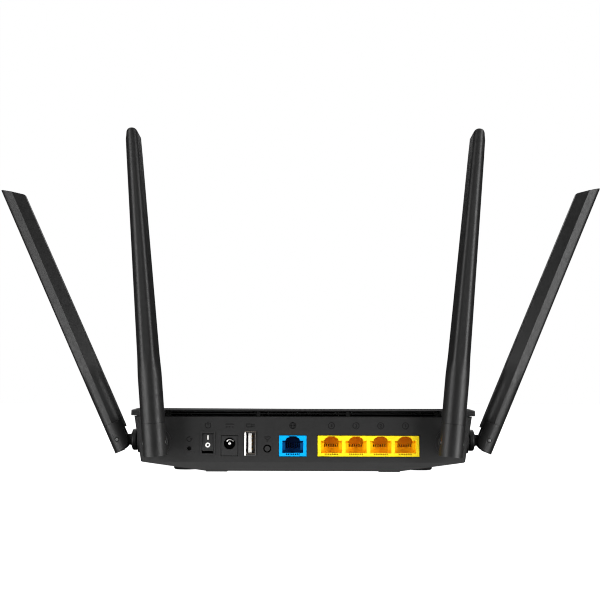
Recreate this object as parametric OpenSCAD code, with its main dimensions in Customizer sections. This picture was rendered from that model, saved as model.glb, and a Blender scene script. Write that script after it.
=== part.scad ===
// Wireless router with four folding antennas, standing on its rubber feet.
// Millimetres, +Z up. The rear panel with the sockets faces -Y, the lamps are at the +Y end.
// X = 0 and Y = 0 are the middle of the object at rest, Z = 0 is the surface that it stands on.
// "Left" is -X and "right" is +X, as seen by someone who looks at the rear panel.

/* [Case] */
// Half width of the case rim at the rear panel
rear_half_w = 95.2; // [94:0.1:96]
// Half width of the case rim at its widest
wide_half_w = 101.5; // [99:0.5:104]
// Distance from the rear panel to the widest place
wide_depth = 36; // [25:1:40]
// Depth of the case from its rear panel to its front edge
case_d = 148; // [140:1:156]
// Height of the case rim, where the black joint line starts
rim_z = 31.2; // [30:0.1:31.5]
// Height of the crease where the rear panel turns under
crease_z = 5.8; // [5.4:0.1:5.8]
// Height of the crease where the sides turn under
side_crease_z = 4.2; // [4:0.1:5]
// Height of the flat middle of the underside
floor_z = 0.7; // [0.6:0.1:1]
// Half width of the flat middle of the underside
floor_half_w = 55; // [50:1:60]
// How far the sides lean in between rim and crease
side_lean = 4.4; // [3:0.1:6]
// Wall thickness of the case
wall = 2.2; // [2:0.1:2.6]

/* [Top cover] */
// How far the top cover stands out past the sides of the case
cover_side = 2; // [1:0.1:3]
// How far the top cover stands out past the rear panel
cover_rear = 0.5; // [0.2:0.1:1]
// Height of the lower edge of the top cover
cover_z = 31.9; // [31.7:0.1:32.4]
// Height where the bevel of the top cover starts
bevel_z = 34.7; // [34.3:0.1:35.4]
// Highest point of the top cover
top_z = 36.2; // [36:0.1:37]
// Depth of the shallow valley along the middle of the top cover
valley = 0.3; // [0.1:0.1:0.4]
// How much lower the top cover is at its front edge
front_drop = 1.1; // [0:0.1:1.2]
// Half width of the vent recess under the rear edge of the top cover
recess_half_w = 78.5; // [70:0.5:79]
// Height of the roof of the vent recess
recess_z = 34.9; // [34.5:0.1:35.1]

/* [Antennas] */
// Distance of the rear antennas from the middle
rear_ant_x = 82.4; // [80:0.1:82.8]
// Height of the rear swivel axes
rear_ant_z = 17.1; // [16:0.1:19]
// Outward lean of the left rear antenna at rest
rear_lean_left = 4.9; // [0:0.1:15]
// Outward lean of the right rear antenna at rest
rear_lean_right = 5.5; // [0:0.1:15]
// Distance of the side antennas from the rear panel
side_ant_d = 68; // [55:1:90]
// Height of the side swivel axes
side_ant_z = 16; // [15:0.1:18]
// Outward tilt of the left side antenna at rest
side_tilt_left = 24.7; // [10:0.1:45]
// Outward tilt of the right side antenna at rest
side_tilt_right = 23.2; // [10:0.1:45]
// Length of an antenna from the lower end of its sleeve to its tip
ant_len = 185; // [170:1:195]
// Radius of the sleeve
sleeve_r = 6.7; // [6.4:0.1:6.8]
// Offset of the sleeve from its hinge pin, towards the case
sleeve_off = 1.3; // [1:0.1:1.6]
// Distance from the hinge pin down to the end of the sleeve
sleeve_end = 7.4; // [7:0.1:8]
// Height of the sleeve
sleeve_h = 18; // [17:0.5:20]
// Height above the sleeve's end where the blade starts to turn from round to faceted
round_end = 40; // [35:1:44]
// Height above the sleeve's end where the blade is fully faceted
facet_start = 59; // [55:1:64]
// Half width of the blade
blade_half_w = 6.5; // [6:0.1:7]
// Half thickness of the blade where it is fully faceted
blade_half_t = 6.3; // [5.5:0.1:6.4]
// Half thickness of the blade at its tip
tip_half_t = 4.4; // [3.8:0.1:5]
// How much lower the slanted tip is on the side of the case
tip_drop = 9.4; // [6:0.1:12]

/* [Rear panel] */
// Middle of the reset hole
reset_x = -64.4; // [-66:0.1:-63]
// Middle of the power switch
switch_x = -53.9; // [-56:0.1:-53]
// Middle of the power inlet
inlet_x = -41.6; // [-42:0.1:-41]
// Middle of the USB socket
usb_x = -29.8; // [-31:0.1:-29]
// Middle of the pairing button
pair_x = -20.2; // [-21:0.1:-20]
// Middle of the WAN socket
wan_x = -5.8; // [-7:0.1:-5]
// Middle of the first LAN socket
lan_x = 16.1; // [15:0.1:17]
// Pitch of the LAN sockets
lan_pitch = 13.97; // [13.97:0.01:14.1]
// Height of the middle of the power switch
switch_z = 16.3; // [16:0.1:17]
// Height of the middle of the USB socket
usb_z = 16.7; // [16:0.1:17]
// Height of the pairing button and the reset hole
button_z = 13.4; // [13:0.1:14]
// Height of the middle of the power inlet's round hole
inlet_z = 16.2; // [15.8:0.1:16.4]

/* [Hidden] */
ends = ["rear_left", "rear_right", "side_left", "side_right"];
ant_parts = ["swivel_base", "swivel_clip", "hinge_pin", "sleeve", "radome", "element"];
root_parts = [
    "top_cover", "bottom_case", "rear_vent_grille", "rubber_feet", "case_screws", "rating_plate",
    "main_pcb", "pcb_screws", "led_light_guides", "status_leds", "power_switch_frame", "power_inlet",
    "power_inlet_pin", "usb_shell", "usb_tongue", "usb_contacts", "wan_jack", "wan_contacts",
    "lan_jack", "lan_contacts", "pairing_switch", "reset_switch", "soc_chip", "thermal_pad",
    "heat_sink", "wifi_shields", "memory_chips", "lan_transformers", "electrolytic_capacitors",
    "power_inductors", "coax_cables"
];
moving_parts = ["power_rocker", "pairing_button", "reset_plunger"];

// Fits and shared sizes
run_fit = 0.05;
gap = 0.3;
eps = 0.01;
slab = 0.02;
round_fn = 96;

// Antenna joint, measured from the face of the boss that carries it
pin_out = 12.8;
flange_r = 6.7;
flange_t = 3.6;
flange_round = 1.2;
shaft_r = 4.5;
clip_r = 5.9;
clip_t = 1.2;
clip_groove_r = 4;
grip = 3.2;
shaft_tail = 0.8;
tongue_half_t = 1.7;
tongue_r = 3.6;
tongue_half_h = 3.4;
flare_half_h = 4.4;
pin_r = 1;
slot_half_w = tongue_half_t + gap;
slot_top = 6.6;
slot_side = 3.9;
foot_round = 7;
foot_in = 6;
foot_step = 5.8;
pin_seat_r = 1.5;
spigot_r = 5;
spigot_h = 2.4;
pin_to_tip = ant_len - sleeve_end;
seam_z = sleeve_h - sleeve_end;

// Bosses
rear_boss_h = 1;
rear_boss_r = 7.7;
side_boss_r = 8.2;
side_boss_x = 103.4;

// The case is set so that the whole object at rest, antennas included, is centred in X and in Y
function side_reach(tilt) =
    side_boss_x + pin_out + pin_to_tip * sin(tilt) + (blade_half_w - sleeve_off) * cos(tilt);
case_x = (side_reach(side_tilt_left) - side_reach(side_tilt_right)) / 2;
rear_reach = rear_boss_h + pin_out + sleeve_r - sleeve_off;
cover_front = 1;
front_edge = case_d + cover_front;
rear_y = (rear_reach - front_edge) / 2;

// Circuit board and what stands on it
pcb_t = 1.6;
pcb_top = 8.9;
pcb_half_w = 74;
pcb_d0 = 3.6;
pcb_d1 = 118;
jack_top = 20.9;
jack_d = 21;
lan_half_w = lan_pitch * 1.5 + 7.8;
lan_mid = lan_x + lan_pitch * 1.5;
wan_half_w = 7.75;
slot_play = 0.15;
inlet_half_w = 4.6;
inlet_play = 0.3;
inlet_low = 9.4;
inlet_top = 20.5;

// Inset of the lip that the cover closes over, and the play round it
lip_in = 1.4;
lip_play = 0.2;

// Lower edge of the cover's inner ledge and its roof
ledge_z = 33.2;
roof_z = 33.9;

// Screws
screw_xd = [[80, 22], [78, 130]];
screw_seat_z = 8;
pillar_top = 20;
pcb_screw_xd = [[69, 15], [69, 110]];

// Feet and wall hangers
foot_x = 69;
foot_d = [30, 122];
foot_r = 7.5;
foot_top = 4;
hanger_x = 45;
hanger_d = 75;
hanger_r = 3.75;
hanger_slot_r = 2;
hanger_slot = 8;

// Lamps
led_n = 8;
led_pitch = 9;
led_d = 108;
led_r = 1.5;
led_h = 1.1;
lamp_z = 34.9;

function lamp_x(i) = (i - (led_n - 1) / 2) * led_pitch;

// Half outline of a level cut through the case: rear corner, widest place, front side, front corner
function half_plan(side, rear, front) = [
    [rear_half_w + side, -rear],
    [wide_half_w + side, wide_depth],
    [wide_half_w + side - 1.5, case_d - 30],
    [rear_half_w + side - 8, case_d + front]
];

function mirrored(points) = [for (i = [len(points) - 1:-1:0]) [-points[i][0], points[i][1]]];

// Slab with the outline of the case, grown at the sides, the rear and the front
module plan_slab(side, rear, front, z, h = slab) {
    half = half_plan(side, rear, front);
    translate([0, 0, z]) linear_extrude(h) polygon(concat(half, mirrored(half)));
}

// Places its children in the case's frame: x, distance from the rear panel, z
module in_case() {
    translate([case_x, rear_y, 0]) children();
}

// Repeats its children on both sides of the middle
module both_sides() {
    children();
    mirror([1, 0, 0]) children();
}

// Box given by its lowest and its highest corner
module box(low, high) {
    translate(low) cube(high - low);
}

// Point and direction at t, from 0 to 1, on a smooth curve with four control points
function curve_point(p, t) =
    pow(1 - t, 3) * p[0] + 3 * pow(1 - t, 2) * t * p[1] + 3 * (1 - t) * t * t * p[2] + pow(t, 3) * p[3];
function curve_way(p, t) =
    pow(1 - t, 2) * (p[1] - p[0]) + 2 * (1 - t) * t * (p[2] - p[1]) + t * t * (p[3] - p[2]);
function unit(v) = v / norm(v);

// Corners of the cut through a lead of radius r at point p, square to the direction way
function lead_ring(p, way, r, n) =
    let (side = unit(cross(way, [0, 0, 1])), up = unit(cross(side, way)))
    [for (k = [0:n - 1]) p + r * (cos(360 * k / n) * side + sin(360 * k / n) * up)];

// Thin round lead that follows a curve
module lead(p, r, steps = 12, n = 8) {
    rings = [for (i = [0:steps]) each lead_ring(curve_point(p, i / steps), curve_way(p, i / steps), r, n)];
    sides = [for (i = [0:steps - 1]) for (k = [0:n - 1])
        [i * n + k, i * n + (k + 1) % n, (i + 1) * n + (k + 1) % n, (i + 1) * n + k]];
    first = [for (k = [n - 1:-1:0]) k];
    last = [for (k = [0:n - 1]) steps * n + k];
    polyhedron(rings, concat(sides, [first, last]), convexity = 6);
}

// Cylinder along +Y that starts at distance d0 from the rear panel and ends at d1
module bar_y(x, z, r, d0, d1) {
    translate([x, d0, z]) rotate([-90, 0, 0]) cylinder(r = r, h = d1 - d0, $fn = round_fn);
}

/* ---- Case ---- */

module case_outer() {
    hull() {
        plan_slab(0, 0, 0, rim_z - slab);
        box([side_lean - rear_half_w, 0, crease_z], [rear_half_w - side_lean, slab, crease_z + slab]);
        plan_slab(-side_lean, -wide_depth, -side_lean, side_crease_z);
        box([-floor_half_w, 3, floor_z], [floor_half_w, case_d - 9, floor_z + slab]);
    }
}

module case_inner() {
    hull() {
        plan_slab(-wall, -wall, -wall, rim_z);
        box([side_lean + wall - rear_half_w, wall, crease_z + 1.4],
            [rear_half_w - side_lean - wall, wall + slab, crease_z + 1.4 + slab]);
        plan_slab(-side_lean - wall, -wide_depth, -side_lean - wall, side_crease_z + 1.4);
        box([2 - floor_half_w, 6, floor_z + wall], [floor_half_w - 2, case_d - 11, floor_z + wall + slab]);
    }
}

// Upright lip inside the rim, which the cover rests on
module case_lip() {
    difference() {
        plan_slab(-lip_in, -lip_in, -lip_in, rim_z - 3, ledge_z - rim_z + 3);
        plan_slab(-wall, -wall, -wall, rim_z - 4, 10);
        box([-recess_half_w - 1.5, -2, rim_z], [recess_half_w + 1.5, 9, rim_z + 5]);
    }
}

// Bosses that carry the four swivels
module swivel_bosses() {
    both_sides() {
        bar_y(rear_ant_x, rear_ant_z, rear_boss_r, -rear_boss_h, wall);
        translate([wide_half_w - 8, side_ant_d, side_ant_z]) rotate([0, 90, 0])
            cylinder(r = side_boss_r, h = side_boss_x - wide_half_w + 8, $fn = round_fn);
    }
}

// Bores through the bosses, and the room for the clips behind them
module swivel_bores() {
    both_sides() {
        bar_y(rear_ant_x, rear_ant_z, shaft_r + run_fit, -10, 10);
        translate([90, side_ant_d, side_ant_z]) rotate([0, 90, 0])
            cylinder(r = shaft_r + run_fit, h = 20, $fn = round_fn);
        translate([80, side_ant_d, side_ant_z]) rotate([0, 90, 0])
            cylinder(r = clip_r + 2 * gap, h = side_boss_x - grip - 80, $fn = round_fn);
    }
}

// Openings in the rear panel, with a little play round each socket
module panel_openings() {
    box([switch_x - 3.75, -5, switch_z - 6.4], [switch_x + 3.75, 10, switch_z + 6.4]);
    box([inlet_x - inlet_half_w - inlet_play, -5, inlet_low - inlet_play],
        [inlet_x + inlet_half_w + inlet_play, 10, inlet_top + inlet_play]);
    box([usb_x - 3.3, -5, usb_z - 6.5], [usb_x + 3.3, 10, usb_z + 6.5]);
    box([wan_x - wan_half_w - slot_play, -5, pcb_top - slot_play],
        [wan_x + wan_half_w + slot_play, 10, jack_top + slot_play]);
    box([lan_mid - lan_half_w - slot_play, -5, pcb_top - slot_play],
        [lan_mid + lan_half_w + slot_play, 10, jack_top + slot_play]);
    bar_y(reset_x, button_z, 1.25, -5, 10);
    bar_y(pair_x, button_z, 2.3, -5, 10);
}

// Keyhole for a wall screw: a round hole for the head and a slot for the shank
module keyhole(x) {
    translate([x, hanger_d, 0]) {
        cylinder(r = hanger_r, h = 6, $fn = round_fn);
        translate([-hanger_slot_r, 0, 0]) cube([2 * hanger_slot_r, hanger_slot, 6]);
        translate([0, hanger_slot, 0]) cylinder(r = hanger_slot_r, h = 6, $fn = round_fn);
    }
}

// Two rows of cooling slots in the underside
module floor_vents() {
    for (i = [0:11])
        for (d = [38, 98])
            translate([-30.25 + i * 5.5 - 1, d, 0]) cube([2, 18, 6]);
}

module bottom_case() {
    color("#333436") in_case() difference() {
        union() {
            difference() {
                case_outer();
                case_inner();
            }
            case_lip();
            swivel_bosses();
            both_sides() {
                for (p = screw_xd)
                    translate([p[0], p[1], 5]) cylinder(r = 4, h = pillar_top - 5, $fn = 48);
                for (p = pcb_screw_xd)
                    translate([p[0], p[1], 4]) cylinder(r = 3, h = pcb_top - pcb_t - 4, $fn = 48);
                for (d = foot_d)
                    translate([foot_x, d, foot_top]) cylinder(r = foot_r + 1.5, h = 1.8, $fn = 48);
                // Moulded pads at the lower rear edge, just clear of the ground
                box([43, 2.5, 0.3], [55, 9, 4]);
            }
        }
        swivel_bores();
        panel_openings();
        floor_vents();
        keyhole(-hanger_x);
        keyhole(hanger_x);
        both_sides() {
            for (p = screw_xd) {
                translate([p[0], p[1], -1]) cylinder(r = 3, h = screw_seat_z + 1, $fn = 48);
                translate([p[0], p[1], 0]) cylinder(r = 1.7, h = 30, $fn = 48);
            }
            for (p = pcb_screw_xd)
                translate([p[0], p[1], 4.2]) cylinder(r = 1, h = 10, $fn = 32);
            for (d = foot_d)
                translate([foot_x, d, -1]) cylinder(r = foot_r, h = foot_top + 1, $fn = round_fn);
        }
        // Shallow seat for the rating plate
        box([-24, 62, 0], [24, 90, floor_z + 0.3]);
    }
}

module rubber_feet() {
    color("#141414") in_case() both_sides() for (d = foot_d)
        translate([foot_x, d, 0]) {
            cylinder(r1 = foot_r - 0.9, r2 = foot_r - 0.1, h = 0.8, $fn = round_fn);
            translate([0, 0, 0.8]) cylinder(r = foot_r - 0.1, h = foot_top - 0.8, $fn = round_fn);
        }
}

module case_screws() {
    color("#4a4a4a") in_case() both_sides() for (p = screw_xd)
        translate([p[0], p[1], 0]) difference() {
            union() {
                translate([0, 0, screw_seat_z - 1.8]) cylinder(r = 2.7, h = 1.8, $fn = 48);
                translate([0, 0, screw_seat_z]) cylinder(r = 1.5, h = 18, $fn = 48);
            }
            // Cross recess
            translate([0, 0, screw_seat_z - 1.8 + 0.5]) cube([3, 0.7, 1.2], center = true);
            translate([0, 0, screw_seat_z - 1.8 + 0.5]) cube([0.7, 3, 1.2], center = true);
        }
}

// Blank plate where the maker's data would be printed
module rating_plate() {
    color("#c9c9c6") in_case() box([-23.8, 62.2, floor_z + 0.05], [23.8, 89.8, floor_z + 0.3]);
}

/* ---- Top cover ---- */

module cover_outer() {
    hull() {
        plan_slab(cover_side, cover_rear, cover_front, cover_z);
        plan_slab(cover_side - 0.2, cover_rear, cover_front - 0.2, bevel_z);
        plan_slab(cover_side - 5, cover_rear - 1.2, cover_front - 4, top_z - slab);
    }
}

// Everything above the two sloping halves of the top
module above_top() {
    tilt = atan(front_drop / case_d);
    translate([0, 0, top_z]) rotate([90 - tilt, 0, 0]) translate([0, 0, -case_d - 20])
        linear_extrude(case_d + 40) polygon([[-120, 0], [0, -valley], [120, 0], [120, 9], [-120, 9]]);
}

// Cooling slots in both halves of the cover
module cover_vents() {
    both_sides() for (i = [0:15])
        translate([50 + i * 2.6, 42, ledge_z]) cube([1.3, 46 - i * 1.2, 5]);
}

module top_cover() {
    color("#2b2c2e") in_case() difference() {
        union() {
            difference() {
                cover_outer();
                plan_slab(lip_play - lip_in, lip_play - lip_in, lip_play - lip_in, cover_z - 1,
                    ledge_z - cover_z + 1);
                plan_slab(-4, -4, -4, cover_z, roof_z - cover_z);
                box([-recess_half_w, -5, cover_z - 1], [recess_half_w, 6, recess_z]);
            }
            both_sides() for (p = screw_xd)
                translate([p[0], p[1], pillar_top + slab])
                    cylinder(r = 3.4, h = roof_z - pillar_top, $fn = 48);
        }
        above_top();
        cover_vents();
        both_sides() for (p = screw_xd)
            translate([p[0], p[1], pillar_top - 1]) cylinder(r = 1.5, h = 8, $fn = 48);
        for (i = [0:led_n - 1])
            translate([lamp_x(i), led_d, ledge_z - 1]) cylinder(r = led_r + run_fit, h = 5, $fn = 48);
    }
}

// Slotted strip at the back of the recess between cover and rear panel
module rear_vent_grille() {
    color("#0d0d0d") in_case() difference() {
        box([-recess_half_w, 4.2, rim_z - 2], [recess_half_w, 5.6, recess_z]);
        for (i = [0:2])
            for (z = [0.5, 2.1])
                translate([(i - 1) * 51 - 24.5, 3, rim_z + z]) cube([49, 5, 1]);
    }
}

/* ---- Circuit board ---- */

module main_pcb() {
    color("#1f5a32") in_case() difference() {
        box([-pcb_half_w, pcb_d0, pcb_top - pcb_t], [pcb_half_w, pcb_d1, pcb_top]);
        both_sides() for (p = pcb_screw_xd)
            translate([p[0], p[1], 0]) cylinder(r = 1.3, h = 20, $fn = 32);
    }
}

module pcb_screws() {
    color("#b9bcc0") in_case() both_sides() for (p = pcb_screw_xd)
        translate([p[0], p[1], 0]) {
            translate([0, 0, pcb_top]) cylinder(r = 2.4, h = 1.4, $fn = 32);
            translate([0, 0, 4.4]) cylinder(r = 1, h = pcb_top - 4.4, $fn = 32);
        }
}

module status_leds() {
    color("#e8f2d8") in_case() for (i = [0:led_n - 1])
        translate([lamp_x(i) - 0.8, led_d - 1.6, pcb_top]) cube([1.6, 3.2, led_h]);
}

module led_light_guides() {
    color("#dfe6ea") in_case() for (i = [0:led_n - 1])
        translate([lamp_x(i), led_d, pcb_top + led_h])
            cylinder(r = led_r, h = lamp_z - pcb_top - led_h, $fn = 48);
}

// Low rectangular parts that stand on the board: x, distance from the rear panel, width, depth, height
module on_board(x, d, w, l, h, z = pcb_top) {
    translate([x - w / 2, d - l / 2, z]) cube([w, l, h]);
}

module soc_chip() {
    color("#161616") in_case() on_board(-4, 62, 14, 14, 1.2);
}

module thermal_pad() {
    color("#9fb4c9") in_case() on_board(-4, 62, 14, 14, 0.6, pcb_top + 1.2);
}

module heat_sink() {
    color("#a9adb2") in_case() difference() {
        on_board(-4, 62, 30, 30, 9, pcb_top + 1.8);
        for (i = [0:6])
            on_board(-4 + (i - 3) * 4, 62, 2.4, 31, 7, pcb_top + 4.3);
    }
}

module wifi_shields() {
    color("#c4c7ca") in_case() for (x = [-48, 42])
        difference() {
            on_board(x, 84, 34, 30, 3.2);
            on_board(x, 84, 33, 29, 2.8, pcb_top - eps);
        }
}

module memory_chips() {
    color("#161616") in_case() {
        on_board(-4, 92, 12, 18, 1.1);
        on_board(20, 58, 8, 6, 1.8);
    }
}

module lan_transformers() {
    color("#1b1b1b") in_case() {
        on_board(wan_x, 32, 12, 7, 5.5);
        for (i = [0:3])
            on_board(lan_x + i * lan_pitch, 32, 12, 7, 5.5);
    }
}

module electrolytic_capacitors() {
    color("#3a3f66") in_case() for (p = [[-56, 42, 4], [-46, 42, 4], [-36, 40, 3.2], [-28, 32, 3.2]])
        translate([p[0], p[1], pcb_top]) cylinder(r = p[2], h = p[2] * 2.8, $fn = 48);
}

module power_inductors() {
    color("#3c3c3c") in_case() {
        on_board(-62, 54, 8, 8, 4);
        on_board(-50, 56, 8, 8, 4);
        on_board(-38, 54, 6, 6, 3);
    }
}

// Aerial leads from the swivels down to the board, and the ferrules that hold them there
module coax_cables() {
    r = 0.65;
    end_z = pcb_top + 1.1;
    rear_end = [69, 42, end_z];
    side_end = [68, 70, end_z];
    rear_route = [[rear_ant_x, 2.5, rear_ant_z], [rear_ant_x, 14, rear_ant_z], [71, 16, end_z], rear_end];
    side_route = [[side_boss_x - 5, side_ant_d, side_ant_z], [88, side_ant_d, side_ant_z],
        [80, 70, end_z], side_end];
    color("#3b3b3b") in_case() both_sides() {
        lead(rear_route, r);
        lead(side_route, r);
        for (p = [rear_end, side_end])
            on_board(p[0], p[1], 3, 2.6, 2.2);
    }
}

/* ---- Power switch, buttons and inlet ---- */

rocker_depth = 4;
rocker_half_h = 4.9;
rocker_half_w = 3.3;
rocker_swing = 10;
rocker_back = 2.2;
rocker_pin_r = 0.8;

module power_switch_frame() {
    color("#1d1d1e") in_case() difference() {
        union() {
            box([switch_x - 4.05, -0.5, switch_z - 6.7], [switch_x + 4.05, 0, switch_z + 6.7]);
            box([switch_x - 3.65, -0.2, switch_z - 6.3], [switch_x + 3.65, 11, switch_z + 6.3]);
            // Solder legs
            for (d = [5, 9])
                box([switch_x - 0.5, d, pcb_top], [switch_x + 0.5, d + 1, switch_z - 6]);
        }
        box([switch_x - rocker_half_w - 0.1, -2, switch_z - 5.7],
            [switch_x + rocker_half_w + 0.1, 9, switch_z + 5.7]);
        translate([switch_x - 4.2, rocker_depth, switch_z]) rotate([0, 90, 0])
            cylinder(r = rocker_pin_r + run_fit, h = 8.4, $fn = 32);
    }
}

// Rocker, at rest with its upper half pressed in
module power_rocker() {
    color("#2a2a2b") in_case() translate([switch_x, rocker_depth, switch_z]) rotate([-rocker_swing, 0, 0])
        rotate([0, 90, 0]) {
            translate([0, 0, -rocker_half_w]) linear_extrude(2 * rocker_half_w)
                polygon([[-rocker_half_h, -rocker_depth], [0, -rocker_depth + 0.5],
                    [rocker_half_h, -rocker_depth], [rocker_half_h, -rocker_depth + 1.2],
                    [1.8, rocker_back], [-1.8, rocker_back], [-rocker_half_h, -rocker_depth + 1.2]]);
            translate([0, 0, -3.6]) cylinder(r = rocker_pin_r, h = 7.2, $fn = 32);
        }
}

module power_inlet() {
    color("#262627") in_case() difference() {
        union() {
            box([inlet_x - inlet_half_w, -0.1, inlet_low], [inlet_x + inlet_half_w, 14, inlet_top]);
            box([inlet_x - inlet_half_w, pcb_d0, pcb_top], [inlet_x + inlet_half_w, 14, inlet_top]);
        }
        bar_y(inlet_x, inlet_z, 3.3, -1, 10.5);
    }
}

module power_inlet_pin() {
    color("#c8c9c4") in_case() {
        bar_y(inlet_x, inlet_z, 1, 1.2, 10.5);
        translate([inlet_x, 1.2, inlet_z]) sphere(r = 1, $fn = 32);
    }
}

module pairing_switch() {
    color("#1a1a1a") in_case() box([pair_x - 3, 6.2, pcb_top], [pair_x + 3, 10, button_z + 3]);
}

module pairing_button() {
    color("#4b4c4e") in_case() {
        bar_y(pair_x, button_z, 1.5, -0.3, 4.2);
        bar_y(pair_x, button_z, 3, 3.2, 4.2);
        bar_y(pair_x, button_z, 1.1, 4.2, 5.4);
    }
}

module reset_switch() {
    color("#1a1a1a") in_case() box([reset_x - 3, 5.6, pcb_top], [reset_x + 3, 9.4, button_z + 3]);
}

module reset_plunger() {
    color("#6b6c6e") in_case() {
        bar_y(reset_x, button_z, 0.9, 3.1, 4.8);
        bar_y(reset_x, button_z, 1.7, 3.2, 4.2);
    }
}

/* ---- Sockets ---- */

module usb_shell() {
    color("#b8bbbf") in_case() {
        difference() {
            box([usb_x - 2.95, -0.3, usb_z - 6.3], [usb_x + 2.95, 14, usb_z + 6.3]);
            box([usb_x - 2.6, -1, usb_z - 6.05], [usb_x + 2.6, 13.6, usb_z + 6.05]);
        }
        // Flared mouth
        difference() {
            box([usb_x - 3.2, -0.6, usb_z - 6.4], [usb_x + 3.2, -0.2, usb_z + 6.4]);
            box([usb_x - 2.6, -1, usb_z - 6.05], [usb_x + 2.6, 1, usb_z + 6.05]);
        }
        for (d = [5, 11])
            box([usb_x - 2.6, d, pcb_top], [usb_x + 2.6, d + 1.2, usb_z - 6.3]);
    }
}

module usb_tongue() {
    color("#eceae4") in_case() {
        box([usb_x - 1.2, 0.9, usb_z - 5.5], [usb_x + 0.65, 12, usb_z + 5.5]);
        box([usb_x - 2.6, 12, usb_z - 6.05], [usb_x + 2.6, 13.6, usb_z + 6.05]);
    }
}

module usb_contacts() {
    color("#c79a3f") in_case() for (z = [-3.5, -1, 1, 3.5])
        box([usb_x + 0.65, 1.4, usb_z + z - 0.5], [usb_x + 1.05, 12, usb_z + z + 0.5]);
}

// Cavity of one modular socket with its stepped latch notch
module jack_cavity(x) {
    box([x - 5.95, -1, pcb_top + 2.1], [x + 5.95, 15, pcb_top + 9]);
    box([x - 4, -1, pcb_top + 8.9], [x + 4, 13, pcb_top + 10.3]);
    box([x - 3.2, -1, pcb_top + 10.2], [x + 3.2, 13, pcb_top + 11]);
    box([x - 2.15, -1, pcb_top + 10.9], [x + 2.15, 13, pcb_top + 11.6]);
}

// Eight spring contacts that rise from the floor of one socket towards its back
module jack_contacts(x) {
    for (i = [0:7])
        translate([x + (i - 3.5) * 1.02 - 0.15, 5, pcb_top + 2.1]) {
            cube([0.3, 10, 0.35]);
            translate([0, 0.2, 0]) rotate([24, 0, 0]) cube([0.3, 9, 0.35]);
        }
}

module wan_jack() {
    color("#1493f0") in_case() difference() {
        box([wan_x - wan_half_w, -0.15, pcb_top], [wan_x + wan_half_w, jack_d, jack_top]);
        jack_cavity(wan_x);
    }
}

module wan_contacts() {
    color("#b98b34") in_case() jack_contacts(wan_x);
}

module lan_jack() {
    color("#f6e21c") in_case() difference() {
        box([lan_mid - lan_half_w, -0.15, pcb_top], [lan_mid + lan_half_w, jack_d, jack_top]);
        for (i = [0:3])
            jack_cavity(lan_x + i * lan_pitch);
    }
}

module lan_contacts() {
    color("#b98b34") in_case() for (i = [0:3])
        jack_contacts(lan_x + i * lan_pitch);
}

/* ---- Antennas ---- */
// Swivel frame: origin at the face of the boss, +X out of the case, +Z up, pin along Y.
// Blade frame: origin at the hinge pin, +Z along the blade, -X is the side of the case.

module at_swivel(end) {
    left = end == "rear_left" || end == "side_left";
    lean = left ? rear_lean_left : rear_lean_right;
    in_case() mirror([left ? 1 : 0, 0, 0])
        if (end == "rear_left" || end == "rear_right")
            translate([rear_ant_x, -rear_boss_h, rear_ant_z]) rotate([0, 0, -90]) rotate([-lean, 0, 0])
                children();
        else
            translate([side_boss_x, side_ant_d, side_ant_z]) children();
}

module at_pin(end) {
    tilt = end == "side_left" ? side_tilt_left : end == "side_right" ? side_tilt_right : 0;
    at_swivel(end) translate([pin_out, 0, 0]) rotate([0, tilt, 0]) children();
}

module disc_x(x0, x1, r) {
    translate([x0, 0, 0]) rotate([0, 90, 0]) cylinder(r = r, h = x1 - x0, $fn = round_fn);
}

// Disc with a rounded rim, its axis along X
module flange() {
    translate([gap, 0, 0]) rotate([0, 90, 0]) rotate_extrude($fn = round_fn) {
        square([flange_r - flange_round, flange_t]);
        translate([0, flange_round]) square([flange_r, flange_t - 2 * flange_round]);
        for (y = [flange_round, flange_t - flange_round])
            translate([flange_r - flange_round, y]) circle(r = flange_round, $fn = 32);
    }
}

module swivel_base(end) {
    flange_front = gap + flange_t;
    color("#1c1c1d") at_swivel(end) difference() {
        union() {
            flange();
            disc_x(-grip - gap, gap + eps, shaft_r);
            disc_x(-grip - gap - clip_t, -grip - gap + eps, clip_groove_r);
            disc_x(-grip - gap - clip_t - shaft_tail, -grip - gap - clip_t, shaft_r);
            // Tongue that the sleeve closes round
            rotate([90, 0, 0]) translate([0, 0, -tongue_half_t]) linear_extrude(2 * tongue_half_t) {
                translate([pin_out, 0]) circle(r = tongue_r, $fn = 64);
                translate([flange_front - eps, -tongue_half_h])
                    square([pin_out - flange_front + eps, 2 * tongue_half_h]);
                polygon([[flange_front - eps, -flare_half_h], [flange_front + 1, -tongue_half_h],
                    [flange_front + 1, tongue_half_h], [flange_front - eps, flare_half_h]]);
            }
        }
        translate([pin_out, 10, 0]) rotate([90, 0, 0]) cylinder(r = pin_r + run_fit, h = 20, $fn = 48);
        // Way for the aerial lead
        disc_x(-grip - gap - clip_t - shaft_tail - 1, flange_front, 1.2);
    }
}

module swivel_clip(end) {
    color("#2a2a2b") at_swivel(end) difference() {
        disc_x(-grip - gap - clip_t, -grip - gap, clip_r);
        disc_x(-grip - gap - clip_t - 1, 0, clip_groove_r);
        // The clip is open at one side, so that it snaps on
        translate([-grip - gap - clip_t - 1, -2.2, 0]) cube([clip_t + 2, 4.4, 10]);
    }
}

module hinge_pin(end) {
    color("#8a8c8f") at_pin(end) rotate([90, 0, 0])
        translate([0, 0, 0.3 - sleeve_r]) cylinder(r = pin_r, h = 2 * sleeve_r - 0.6, $fn = 48);
}

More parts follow.
